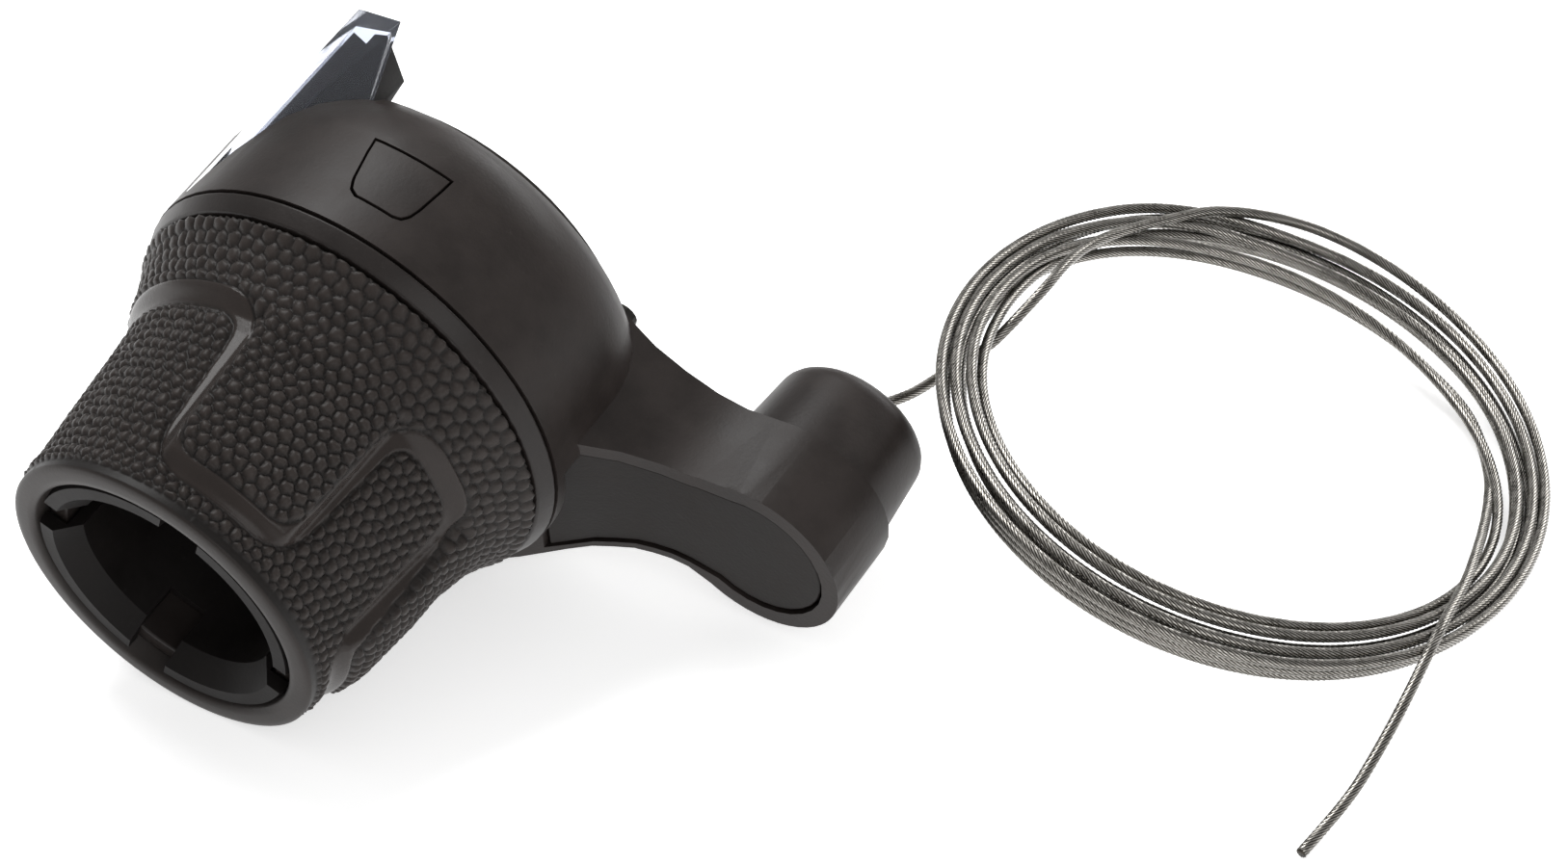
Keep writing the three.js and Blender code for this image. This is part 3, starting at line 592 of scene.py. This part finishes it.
def band_path():
    """The smooth band's middle line, laid flat: round each pad's lower end and over each hollow."""
    corners = []
    for middle in sorted(PADS):
        corners += [(middle - 26.5, 22.6), (middle - 24.5, 4.6)]
        corners += [(middle + 24.5, 4.6), (middle + 27.5, 22.6)]
    corners = np.array([(math.radians(t) * UNROLL, y) for t, y in corners])
    loop = np.array((2 * math.pi * UNROLL, 0))
    path = []
    for i, corner in enumerate(corners):
        before = corners[i - 1] - (loop if i == 0 else 0)
        after = corners[(i + 1) % len(corners)] + (loop if i == len(corners) - 1 else 0)
        a, b = before - corner, after - corner
        radius = min(4.2, 0.48 * np.linalg.norm(a), 0.48 * np.linalg.norm(b))
        start = corner + a / np.linalg.norm(a) * radius
        end = corner + b / np.linalg.norm(b) * radius
        for t in np.linspace(0, 1, 10):
            path.append((1 - t) ** 2 * start + 2 * t * (1 - t) * corner + t * t * end)
    return np.array(path)


def distance_to_band(s, y):
    path = band_path()
    loop = 2 * math.pi * UNROLL
    path = np.vstack([path, path[0] + (loop, 0)])
    best = np.full(s.shape, 99.0)
    for shift in (-loop, 0.0, loop):
        for a, b in zip(path[:-1], path[1:]):
            d = b - a
            t = np.clip(((s - a[0] - shift) * d[0] + (y - a[1]) * d[1]) / (d @ d), 0, 1)
            best = np.minimum(best, np.hypot(s - a[0] - shift - t * d[0], y - a[1] - t * d[1]))
    return best


def pebbles(s, y):
    """Height of the moulded pebbles from 0 to 1: each fills its own cell of a jittered honeycomb."""
    rng = np.random.default_rng(7)
    loop = 2 * math.pi * UNROLL
    columns, pitch = 86, 1.27
    rows = 26
    gap = loop / columns
    jitter = rng.uniform(-0.27, 0.27, (rows, columns, 2))
    near = np.full(s.shape, 99.0)
    second = np.full(s.shape, 99.0)
    near_at = np.zeros(s.shape + (2,))
    second_at = np.zeros(s.shape + (2,))
    row0 = np.round(y / pitch).astype(int)
    for dr in (-1, 0, 1):
        row = np.clip(row0 + dr, 0, rows - 1)
        shift = 0.5 * (row % 2)
        column0 = np.round(s / gap - shift).astype(int)
        for dc in (-1, 0, 1):
            column = (column0 + dc) % columns
            at = np.stack([(column0 + dc + shift) * gap, row * pitch], -1) + jitter[row, column]
            away = np.hypot(s - at[..., 0], y - at[..., 1])
            closer = away < near
            between = (away < second) & ~closer
            second_at = np.where(closer[..., None], near_at, np.where(between[..., None], at, second_at))
            second = np.where(closer, near, np.where(between, away, second))
            near_at = np.where(closer[..., None], at, near_at)
            near = np.where(closer, away, near)
    apart = np.maximum(np.hypot(*np.moveaxis(second_at - near_at, -1, 0)), 0.2)
    border = (second**2 - near**2) / (2 * apart)
    rise = np.clip((border - 0.07) / 0.56, 0.0, 1.0)
    return np.sqrt(1.0 - (1.0 - rise) ** 2)


def make_grip_rubber():
    columns = 600
    outer = np.linspace(0.5, 29.75, 147)
    angle = np.linspace(0, 360, columns, endpoint=False)
    y, t = np.meshgrid(outer, angle, indexing="ij")
    s = np.radians(t) * UNROLL
    radius = base_radius(y, t)
    band = distance_to_band(s, y)
    edge = BAND_HALF
    on_band = smoothstep((edge + 0.1 - band) / 0.2)
    dome = pebbles(s, y) * (1 - smoothstep((edge + 0.35 - band) / 0.3)) * smoothstep((y - 1.2) / 0.5)
    size = 0.54 - 0.14 * smoothstep((y - 21) / 3)
    radius = radius + dome * size - 0.2
    radius += on_band * 0.1
    radius -= 0.2 * np.exp(-(((band - edge - 0.12) / 0.13) ** 2))
    for line in MOULD_LINES:
        away = np.radians(np.abs((t - line + 180) % 360 - 180)) * UNROLL
        radius += 0.07 * np.exp(-((away / 0.12) ** 2)) * (1 - on_band)
    rim = np.interp(0.5, *zip(*LOW))
    rounding = [
        (0.3, rim - 0.2), (0.12, rim - 0.48), (0.0, rim - 0.95),
        (0.0, 16.3), (0.02, 15.75), (0.3, RUBBER_BORE),
    ]
    inside = [(6.0, RUBBER_BORE), (18.0, RUBBER_BORE), (RUBBER_END, RUBBER_BORE), (RUBBER_END, 20.5)]
    ends = rounding + inside
    ys = np.vstack([y, *[np.full((1, columns), a) for a, _ in reversed(ends)]])
    rs = np.vstack([radius, *[np.full((1, columns), r) for _, r in reversed(ends)]])
    points = polar(rs, ys, np.tile(angle, (len(rs), 1))).reshape(-1, 3)
    faces = grid_faces(len(rs), columns, closed_rows=True)
    piece = mesh_piece("grip_rubber_pebbled", points, faces, RUBBER)
    # The pebble height also places the painted shade in the gaps and the painted highlight on the pebble tops.
    attribute = piece.data.attributes.new("pebble", "FLOAT", "POINT")
    values = np.vstack([dome, np.full((len(ends), columns), 0.5)])
    attribute.data.foreach_set("value", values.reshape(-1).astype(np.float32))
    attribute = piece.data.attributes.new("band", "FLOAT", "POINT")
    values = np.vstack([on_band, np.zeros((len(ends), columns))])
    attribute.data.foreach_set("value", values.reshape(-1).astype(np.float32))
    carry(piece, "grip", "grip_rubber", "grip_rubber")


make_grip_rubber()

# ---- Moulded parts ----
rounded("main_housing", "housing", "black_plastic", NYLON, 0.35, 3)
rounded("arm_cover", "housing", "black_plastic", COVER, 0.3, 2)
rounded("cable_hatch", "hatch", "black_plastic", NYLON, 0.12, 2)
rounded("grip_core", "grip", "black_plastic", FLANGE, 0.3, 2)
rounded("inner_sleeve", "housing", "inner_plastic", INNER, 0.25, 2)
rounded("rear_plate", "housing", "black_plastic", NYLON, 0.25, 2)
rounded("clamp_band", "housing", "steel", BLACK_STEEL, 0.2, 2)
rounded("window_cover", "housing", "clear_plastic", CLEAR, 0.35, 3)
rounded("dial_plate", "housing", "inner_plastic", INNER, 0.2, 2)
rounded("indicator_needle", "indicator", "orange_plastic", ORANGE, 0.12, 2)


# ---- The dial under the clear cover ----
DISPLAY_ANGLE = 141.0
FACE_SPAN = (21.92, 22.06)  # the printed faces' undersides and tops, from the bar's axis
WALL_SPAN = (21.86, 23.5)  # the same for the dial's walls


def on_display(t, y, n):
    """A point on the display in mm: t up across its face, y along the bar, n out from the bar's axis."""
    facing = math.radians(DISPLAY_ANGLE)
    x = n * math.cos(facing) + t * math.sin(facing)
    z = n * math.sin(facing) - t * math.cos(facing)
    return local(np.array(x), np.array(y), np.array(z))


def dial_panel(name, outline, n0, n1, material):
    """A thin plate with softened edges, from its outline as (t, y)."""
    work = bmesh.new()
    base = work.faces.new([work.verts.new(on_display(t, y, n0)) for t, y in outline])
    raised = bmesh.ops.extrude_face_region(work, geom=[base])["geom"]
    lift = on_display(0, 0, n1) - on_display(0, 0, n0)
    bmesh.ops.translate(work, verts=[v for v in raised if isinstance(v, bmesh.types.BMVert)], vec=lift)
    bmesh.ops.recalc_face_normals(work, faces=work.faces)
    bmesh.ops.bevel(work, geom=work.edges[:], offset=0.00003, segments=2, affect="EDGES", profile=0.5)
    mesh = bpy.data.meshes.new(name)
    work.to_mesh(mesh)
    work.free()
    return carry(link_mesh(name, mesh, material), "housing", "inner_plastic")


def dial_digit(digit, t, y):
    """A printed gear number that reads from the rider's side."""
    curve = bpy.data.curves.new("gear_number_" + digit, "FONT")
    curve.body = digit
    curve.size = 2.9 * MM
    curve.extrude = 0.04 * MM
    curve.align_x = "CENTER"
    curve.align_y = "CENTER"
    text = bpy.data.objects.new("gear_number_draft", curve)
    bpy.context.scene.collection.objects.link(text)
    mesh = bpy.data.meshes.new_from_object(text.evaluated_get(bpy.context.evaluated_depsgraph_get()))
    bpy.data.objects.remove(text)
    centre = on_display(t, y, 22.12)
    across = on_display(0, 1, 0) - on_display(0, 0, 0)
    out = on_display(0, 0, 1) - on_display(0, 0, 0)
    turn = Matrix([Vector(v).normalized() for v in (across, np.cross(out, across), out)]).transposed()
    mesh.transform(Matrix.Translation(centre) @ turn.to_4x4())
    carry(link_mesh("gear_number_" + digit, mesh, WHITE_INK), "housing", "white_plastic")


GREY_FACE = paint("grey dial face", (0.2, 0.2, 0.215), 0.35)
dial_panel("dial_face_low", [(-4.3, 36.2), (-1.9, 36.2), (-1.9, 54.2), (-4.3, 54.2)], *FACE_SPAN, GREY_FACE)
dial_panel("dial_face_high", [(1.9, 37.6), (13.0, 54.2), (1.9, 54.2)], *FACE_SPAN, GREY_FACE)
dial_panel("dial_wall_high", [(1.3, 35.6), (1.9, 35.6), (14.1, 54.5), (13.5, 54.5)], *WALL_SPAN, NYLON)
dial_panel("dial_wall_low", [(-4.75, 35.6), (-4.4, 35.6), (-4.4, 54.5), (-4.75, 54.5)], *WALL_SPAN, NYLON)
dial_panel("dial_wall_near", [(-4.3, 35.6), (1.2, 35.6), (1.2, 36.0), (-4.3, 36.0)], *WALL_SPAN, NYLON)
dial_panel("dial_wall_far", [(-4.3, 54.3), (13.2, 54.3), (13.2, 54.6), (-4.3, 54.6)], *WALL_SPAN, NYLON)
for digit, station in (("1", 38.6), ("2", 43.1), ("3", 47.6)):
    dial_digit(digit, -3.1, station)

LOOKS = {
    "seal_rubber": SEAL,
    "black_plastic": NYLON,
    "inner_plastic": INNER,
    "white_plastic": ACETAL,
    "steel": STEEL,
    "cable_steel": STEEL,
    "orange_plastic": ORANGE,
    "grip_rubber": SEAL,
    "clear_plastic": CLEAR,
}
slots = {p["node"]: p["material_slot"] for p in frame["record"]["subparts"]}
for name, node in frame["nodes"].items():
    if not node.hide_render:
        look = BLACK_STEEL if name.startswith(("clamp_", "rear_screw")) else LOOKS[slots[name]]
        node.data.materials.clear()
        node.data.materials.append(look)
